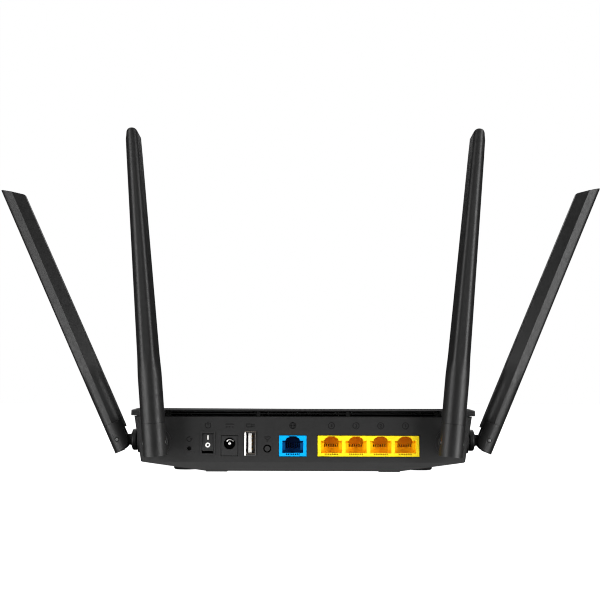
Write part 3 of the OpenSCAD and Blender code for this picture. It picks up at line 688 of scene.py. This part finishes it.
def power_sign():
    """Each sign is a list of strokes: their points in millimetres, and whether the stroke is closed."""
    return [(arc(0, 0, 1.6, 125, 415), False), ([(0, 0.3), (0, 2.0)], False)]


def inlet_sign():
    """Sign for direct current: a line over three short ones."""
    dashes = [([(x - 0.5, -0.9), (x + 0.5, -0.9)], False) for x in (-1.7, 0, 1.7)]
    return [([(-2.3, 0.7), (2.3, 0.7)], False)] + dashes


def plug_sign():
    """Outline of a plug with its two blades, for the peripheral socket."""
    body = [(-2.4, -0.8), (0.6, -0.8), (0.6, 0.8), (-2.4, 0.8)]
    return [(body, True), ([(0.6, 0.45), (2.4, 0.45)], False), ([(0.6, -0.45), (2.4, -0.45)], False)]


def globe_sign():
    lens = [(0.8 * math.cos(a), 1.7 * math.sin(a)) for a in [2 * math.pi * k / 20 for k in range(20)]]
    return [(ring_points(0, 0, 1.7), True), (lens, True), ([(-1.7, 0), (1.7, 0)], False)]


def round_arrow_sign():
    barbs = [([(1.3, 0), (0.6, 0.5)], False), ([(1.3, 0), (1.75, 0.75)], False)]
    return [(arc(0, 0, 1.3, 60, 360), False)] + barbs


def waves_sign():
    """Three arcs over a point, for the wireless pairing button."""
    arcs = [(arc(0, -1.2, r, 45, 135, 10), False) for r in (1.0, 1.9, 2.8)]
    return arcs + [(ring_points(0, -1.2, 0.16, 8), True)]


DIGITS = {
    1: [(-0.35, 0.45), (0.1, 0.85), (0.1, -0.85)],
    2: arc(0, 0.35, 0.5, 160, -30, 10) + [(-0.5, -0.85), (0.5, -0.85)],
    3: arc(0, 0.42, 0.43, 150, -70, 8) + arc(0, -0.42, 0.45, 70, -150, 8),
    4: [(0.25, -0.85), (0.25, 0.85), (-0.5, -0.3), (0.55, -0.3)],
}


def digit_sign(digit):
    return [(ring_points(0, 0, 1.75), True), (DIGITS[digit], False)]


def strokes_mesh(strokes, width, height):
    """Mesh in metres of the strokes of a sign."""
    bm = bmesh.new()
    for points, closed in strokes:
        add_stroke(bm, points, width, height, closed)
    bmesh.ops.scale(bm, vec=(MM, MM, MM), verts=bm.verts)
    return bm


def panel_mark(name, strokes, x, z, width=STROKE):
    """Pictogram on the rear panel, centred at x and z millimetres."""
    bm = strokes_mesh(strokes, width, MARK_H)
    place = Matrix.Translation(in_case(x, 0, z)) @ Matrix.Rotation(math.pi / 2, 4, "X")
    piece_from(name, bm, "root", "grille_black", place=place)


def make_panel_marks(lan):
    """Signs over the switch, sockets and buttons; lan is the x of each yellow socket, from the left."""
    panel_mark("sign_power", power_sign(), on_panel("power_switch_frame")[0], SIGN_Z)
    panel_mark("sign_inlet", inlet_sign(), on_panel("power_inlet")[0], SIGN_Z)
    panel_mark("sign_plug", plug_sign(), on_panel("usb_shell")[0], SIGN_Z)
    panel_mark("sign_globe", globe_sign(), on_panel("wan_jack")[0], SIGN_Z)
    for i, x in enumerate(lan):
        digit = LAN_SOCKETS - i
        panel_mark("sign_port_%d" % digit, digit_sign(digit), x, SIGN_Z, DIGIT_STROKE)
    panel_mark("sign_reset", round_arrow_sign(), on_panel("reset_plunger")[0], RESET_SIGN_Z, SMALL_STROKE)
    panel_mark("sign_pairing", waves_sign(), on_panel("pairing_button")[0], PAIRING_SIGN_Z, SMALL_STROKE)


# ---- Power switch ----

# Depth of the rocker's pivot behind the panel; the ends of its face are as far in front of the pivot
ROCKER_DEPTH = 4.0
ROCKER_REST = math.radians(-10)
ROCKER_HALF_H = 4.9
ROCKER_DISH = 0.5
# Height of the frame's top above the pivot
FRAME_HALF_H = 6.7
ROCKER_STROKE = 0.7
ROCKER_MARK_H = 0.05
ON_MARK_Z = 2.6
OFF_MARK_Z = -1.6
OFF_MARK_R = 1.05
ON_MARK_HALF_H = 1.2


def rocker_face(z):
    """Depth of the rocker's face in its own frame at a height from its pivot."""
    return -ROCKER_DEPTH + ROCKER_DISH * (1 - abs(z) / ROCKER_HALF_H)


def rocker_mark(name, stroke, z):
    """White mark printed on the rocker's face, centred at a height from the pivot."""
    bm = strokes_mesh([stroke], ROCKER_STROKE, ROCKER_MARK_H)
    x = on_panel("power_switch_frame")[0]
    pivot_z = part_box("power_switch_frame")[1].z / MM - FRAME_HALF_H
    slope = math.atan(ROCKER_DISH / ROCKER_HALF_H) * (1 if z > 0 else -1)
    pivot = Matrix.Translation(in_case(x, ROCKER_DEPTH, pivot_z)) @ Matrix.Rotation(ROCKER_REST, 4, "X")
    spot = Matrix.Translation(Vector((0, rocker_face(z) * MM, z * MM)))
    lean = Matrix.Rotation(math.pi / 2 + slope, 4, "X")
    piece_from(name, bm, "power_rocker", "white_plastic", place=pivot @ spot @ lean)


def make_rocker_marks():
    rocker_mark("rocker_mark_on", ([(0, -ON_MARK_HALF_H), (0, ON_MARK_HALF_H)], False), ON_MARK_Z)
    rocker_mark("rocker_mark_off", (ring_points(0, 0, OFF_MARK_R), True), OFF_MARK_Z)


# ---- USB socket and power inlet ----

# Half width and half height of the USB shell's mouth, outside and inside its lips
USB_OUTER = (3.2, 6.4)
USB_INNER = (2.75, 6.1)
# Depths of the other lips, which stand out from the panel
USB_LIP_DEPTHS = (-0.7, -0.5)
# Plan of the left lip: x from the middle of the shell, and depth
USB_LEFT_LIP = ((-3.1, -0.85), (-2.5, -0.5), (-2.5, -0.3), (-3.1, -0.5))
# Section of the leaf in the power inlet: radius from the pin, and depth; then its arc round the pin, in degrees
LEAF_SECTION = ((1.75, 3.2), (2.25, 3.0), (2.4, 8.0), (2.0, 8.0))
LEAF_START = 30
LEAF_SPAN = 120
LEAF_STEPS = 12


def make_usb_lips():
    """Lips of the USB shell's mouth: the left one leans so far that it catches the light, and its brighter
    metal, beside the dark steel of the others, is a painted highlight.
    """
    x, z = on_panel("usb_shell")
    (outer_w, outer_h), (inner_w, inner_h) = USB_OUTER, USB_INNER
    front, back = USB_LIP_DEPTHS
    right_lip = ((inner_w, -outer_h), (outer_w, outer_h))
    top_lip = ((-inner_w, inner_h), (inner_w, outer_h))
    bottom_lip = ((-inner_w, -outer_h), (inner_w, -inner_h))
    bm = bmesh.new()
    for low, high in (right_lip, top_lip, bottom_lip):
        add_box(bm, in_case(x + low[0], front, z + low[1]), in_case(x + high[0], back, z + high[1]))
    piece_from("usb_lips", bm, "root", "dark_steel")
    bm = bmesh.new()
    foot = [in_case(x + lip_x, depth, z - outer_h) for lip_x, depth in USB_LEFT_LIP]
    add_prism(bm, foot, Vector((0, 0, 2 * outer_h * MM)))
    # painted highlight: the left lip gets bright socket metal, the other lips dark steel
    piece_from("usb_left_lip", bm, "root", "socket_metal")


def make_inlet_spring():
    """Curved metal leaf that shows above the pin inside the power inlet."""
    x, z = on_panel("power_inlet_pin")
    rings = []
    for i in range(LEAF_STEPS + 1):
        a = math.radians(LEAF_START + LEAF_SPAN * i / LEAF_STEPS)
        across, up = math.cos(a), math.sin(a)
        rings.append([in_case(x + r * across, depth, z + r * up) for r, depth in LEAF_SECTION])
    bm = bmesh.new()
    add_rings(bm, rings)
    piece_from("inlet_spring", bm, "root", "socket_metal")


# ---- Antennas ----

SLEEVE_R = 6.7
SLEEVE_OFF = 1.3
# Heights above the hinge pin: seam over the sleeve, end of the round stretch, first full facets, tip
SEAM_Z = 10.6
ROUND_Z = 36.0
FACET_Z = 52.0
TIP_Z = 177.6
TIP_DROP = 9.4
SEAM_GAP = 0.05
SEAM_CHAMFER = 0.15
TIP_RIM = 0.6
# The facets' rings stop this far below the low end of the slanted tip
TIP_FOOT_DROP = 6
# Half width, and half thickness where the facets start and at the tip
BLADE_HALF_W = 6.5
FACET_HALF_T = 6.3
TIP_HALF_T = 4.4
# Thickness of the inner and the outer edge, as shares of the blade's
EDGE_SHARE = 0.42
OUTER_EDGE_SHARE = 0.56
OUTER_EDGE_R = 3.0
INNER_EDGE_R = 1.0
RIDGE_R = 0.4
# Steps in an arc of the blade's outline, and pieces in a straight stretch between two arcs
ARC_STEPS = 6
FLAT_PIECES = 4
# Rings of the round stretch, of the blend into the facets, and of the facets
ROUND_RINGS_Z = (SEAM_Z + 6, SEAM_Z + 14, ROUND_Z)
BLEND_RINGS = 16
FACET_RINGS = 10


def blade_frame(end):
    """Matrix of an antenna's own frame: origin at its pin, +Z along the blade, +X away from the case."""
    points = np.array([v.co for v in NODES[end + "_element"].data.vertices])
    along = Vector(np.linalg.svd(points - points.mean(0))[2][0]).normalized()
    if along.z < 0:
        along.negate()
    out = Vector(OUTWARD[end])
    out = (out - out.dot(along) * along).normalized()
    across = along.cross(out)
    axes = Matrix((out, across, along)).transposed().to_4x4()
    return Matrix.Translation(middle(end + "_hinge_pin")) @ axes


def blade_outline(half_t):
    """Rounded six-sided cut through the faceted part of a blade, in millimetres."""
    outer, inner = half_t * OUTER_EDGE_SHARE, half_t * EDGE_SHARE
    corners = [(BLADE_HALF_W, -outer), (BLADE_HALF_W, outer), (0, half_t),
               (-BLADE_HALF_W, inner), (-BLADE_HALF_W, -inner), (0, -half_t)]
    radii = [OUTER_EDGE_R, OUTER_EDGE_R, RIDGE_R, INNER_EDGE_R, INNER_EDGE_R, RIDGE_R]
    return rounded_outline(corners, radii, ARC_STEPS)


def split_outline(points):
    """The same outline with the straight stretches between its arcs cut into equal pieces."""
    made = []
    for i, (a, b) in enumerate(zip(points, points[1:] + points[:1])):
        steps = FLAT_PIECES if (i + 1) % (ARC_STEPS + 1) == 0 else 1
        made.extend(a.lerp(b, k / steps) for k in range(steps))
    return made


def top_height(x):
    """Height of the slanted tip above the hinge pin at x, from the outer side at +x to the inner side."""
    return TIP_Z - TIP_DROP * (BLADE_HALF_W - x) / (2 * BLADE_HALF_W)


def blade_ring(z, share, inset=0.0):
    """Ring of the blade at height z; share goes from 0, round, to 1, faceted."""
    half_t = FACET_HALF_T + (TIP_HALF_T - FACET_HALF_T) * max(0.0, (z - FACET_Z) / (TIP_Z - FACET_Z))
    ring = []
    for p in split_outline(blade_outline(half_t)):
        round_p = p.normalized() * SLEEVE_R
        q = round_p.lerp(p, share)
        q = q * (1 - inset / q.length)
        ring.append(Vector((q.x - SLEEVE_OFF, q.y, z)))
    return ring


def ease(t):
    """Goes smoothly from 0 to 1 as t does."""
    t = min(1.0, max(0.0, t))
    return t * t * (3 - 2 * t)


def tip_ring(inset, below):
    """Ring that lies in the slanted tip, a distance inside its rim and below it."""
    ring = blade_ring(TIP_Z, 1, inset)
    for p in ring:
        p.z = top_height(p.x + SLEEVE_OFF) - below
    return ring


def make_radome(end):
    """Blade cover: round at the sleeve, then faceted with a ridge on each face, and a slanted tip."""
    foot = SEAM_Z + SEAM_GAP
    rings = [blade_ring(foot, 0, SEAM_CHAMFER), blade_ring(foot + SEAM_CHAMFER, 0)]
    rings += [blade_ring(z, 0) for z in ROUND_RINGS_Z]
    for k in range(1, BLEND_RINGS + 1):
        t = k / BLEND_RINGS
        rings.append(blade_ring(ROUND_Z + (FACET_Z - ROUND_Z) * t, ease(t)))
    tip_foot = TIP_Z - TIP_DROP - TIP_FOOT_DROP
    for k in range(1, FACET_RINGS + 1):
        rings.append(blade_ring(FACET_Z + (tip_foot - FACET_Z) * k / FACET_RINGS, 1))
    soft = TIP_RIM * 0.3
    rings += [tip_ring(0, TIP_RIM), tip_ring(soft, soft), tip_ring(TIP_RIM, 0)]
    bm = bmesh.new()
    add_rings(bm, [[p * MM for p in ring] for ring in rings])
    cover = piece_from(end + "_blade_cover", bm, end + "_blade", "antenna_plastic", [end + "_radome"],
                       place=blade_frame(end), smooth=True)
    weighted = cover.modifiers.new("weighted", "WEIGHTED_NORMAL")
    weighted.weight = 60


# ---- Stage ----

FLOOR_HALF = 12.0
DOME_RADIUS = 15.0
FLOOR_GLOW = 1.1
SHEEN_GLOW = 1.6
DOME_GLOW = 1.0
WORLD_LIGHT = 0.02
# Opposite corners of the strip on the floor, as x and depth in millimetres, and its height
SHEEN_LOW = (-110, -45)
SHEEN_HIGH = (110, 12)
SHEEN_LIFT = 0.05
LIGHT_TARGET = Vector((0, 0, 0.08))


def glowing_white(name, tone, glow):
    """White material of the stage, which gives off its own light."""
    s = Shader(name)
    s.set(Base_Color=s.tint(s.spread(s.noise(40 * MM), 0, 1), grey(tone), grey(tone * 0.99)))
    s.set(Roughness=0.9, Specular_IOR_Level=0.1, Emission_Color=(1, 1, 1, 1), Emission_Strength=glow)
    return s.material


def stage_piece(name, bm, material, unseen_by):
    """Turns a bmesh into a piece of the stage that some kinds of rays pass by."""
    mesh = bpy.data.meshes.new(name)
    bm.to_mesh(mesh)
    bm.free()
    piece = add_object(name, mesh)
    mesh.materials.append(material)
    for ray in unseen_by:
        setattr(piece, "visible_" + ray, False)


def make_floor():
    half = FLOOR_HALF
    bm = bmesh.new()
    add_rings(bm, [[(-half, -half, 0), (half, -half, 0), (half, half, 0), (-half, half, 0)]], True, False)
    white = glowing_white("floor_white", 0.3, FLOOR_GLOW)
    stage_piece("floor", bm, white, ("glossy", "diffuse", "shadow"))


def make_floor_sheen():
    """White strip on the floor that only shows as a sheen on the lower chamfer of the case."""
    (x0, near), (x1, far) = SHEEN_LOW, SHEEN_HIGH
    corners = ((x0, near), (x1, near), (x1, far), (x0, far))
    bm = bmesh.new()
    add_rings(bm, [[in_case(x, depth, SHEEN_LIFT) for x, depth in corners]], True, False)
    white = glowing_white("sheen_white", 0.0, SHEEN_GLOW)
    stage_piece("floor_sheen", bm, white, ("camera", "diffuse", "transmission", "shadow"))


def make_backdrop():
    """White dome that only the camera sees, so that it puts no light on the object."""
    bm = bmesh.new()
    bmesh.ops.create_uvsphere(bm, u_segments=48, v_segments=24, radius=DOME_RADIUS)
    white = glowing_white("backdrop_white", 0.0, DOME_GLOW)
    stage_piece("backdrop", bm, white, ("diffuse", "glossy", "transmission", "shadow", "volume_scatter"))


def softbox(name, azimuth, elevation, distance, size, power):
    """Rectangular light aimed at the router; azimuth 0 is behind the camera and +90 is on the right."""
    data = bpy.data.lights.new(name, "AREA")
    data.shape = "RECTANGLE"
    data.size, data.size_y = size
    data.energy = power
    light = bpy.data.objects.new(name, data)
    a, e = math.radians(azimuth), math.radians(elevation)
    back = Vector((math.sin(a) * math.cos(e), -math.cos(a) * math.cos(e), math.sin(e)))
    light.location = LIGHT_TARGET + back * distance
    light.rotation_mode = "QUATERNION"
    light.rotation_quaternion = (-back).to_track_quat("-Z", "Y")
    bpy.context.scene.collection.objects.link(light)


def make_lights():
    """Softboxes round the router, and a faint even light from everywhere."""
    softbox("left_softbox", azimuth=-45, elevation=4, distance=0.6, size=(0.26, 0.46), power=2.8)
    softbox("right_softbox", azimuth=50, elevation=4, distance=0.6, size=(0.26, 0.46), power=3.9)
    softbox("left_low_softbox", azimuth=-66, elevation=-20, distance=1.0, size=(0.36, 0.5), power=4.2)
    softbox("right_low_softbox", azimuth=66, elevation=-20, distance=1.0, size=(0.36, 0.5), power=2.5)
    softbox("top_softbox", azimuth=0, elevation=78, distance=1.3, size=(1.2, 1.0), power=10)
    softbox("panel_fill", azimuth=0, elevation=14, distance=2.2, size=(1.6, 1.0), power=3)
    softbox("far_side_fill", azimuth=180, elevation=40, distance=2.0, size=(2.2, 1.0), power=30)
    world = bpy.data.worlds.new("studio")
    world.use_nodes = True
    background = world.node_tree.nodes["Background"]
    background.inputs["Color"].default_value = (1, 1, 1, 1)
    background.inputs["Strength"].default_value = WORLD_LIGHT
    bpy.context.scene.world = world


def set_colours():
    """Sets the width of the pixel filter, and colours that go to the picture as they are."""
    bpy.context.scene.cycles.filter_width = 1.1
    view = bpy.context.scene.view_settings
    view.view_transform = "Standard"
    view.look = "None"
    view.exposure = 0
    view.gamma = 1


# ---- Build ----

MATERIALS = make_materials()
# Nodes that look different from the rest of their slot; the swivel bases get a near black plastic that paints
# the shade they sit in
OWN_FINISH = {
    "power_inlet": "inlet_plastic",
    "power_switch_frame": "inlet_plastic",
    "usb_shell": "shell_metal",
}
for end_name in ENDS:
    OWN_FINISH[end_name + "_swivel_base"] = "swivel_plastic_painted_shade"


def finish_cad_nodes():
    """Gives every CAD node its own finish, and rounds the edges of those that show."""
    for node in NODES.values():
        for i, old in enumerate(node.data.materials):
            node.data.materials[i] = MATERIALS[old.name.split(".")[0]]
    for name, finish in OWN_FINISH.items():
        NODES[name].data.materials[0] = MATERIALS[finish]
    soften("bottom_case", width=0.35, angle=12, merge_flat=False)
    soften("top_cover", width=0.3, angle=12, merge_flat=False)
    soften("usb_shell", width=0.1, merge_flat=False)
    for name in ("power_inlet", "power_switch_frame", "power_rocker"):
        soften(name, width=0.15)
    for name in ("rubber_feet", "case_screws", "heat_sink"):
        soften(name, width=0.2)
    for end in ENDS:
        soften(end + "_sleeve", width=0.2, angle=35)
        soften(end + "_swivel_base", width=0.25, angle=35)
        soften(end + "_hinge_pin", width=0.25, angle=35)


make_camera()
finish_cad_nodes()
make_panel_marks(make_sockets())
make_rocker_marks()
make_usb_lips()
make_inlet_spring()
for end_name in ENDS:
    make_radome(end_name)
make_floor()
make_floor_sheen()
make_backdrop()
make_lights()
set_colours()
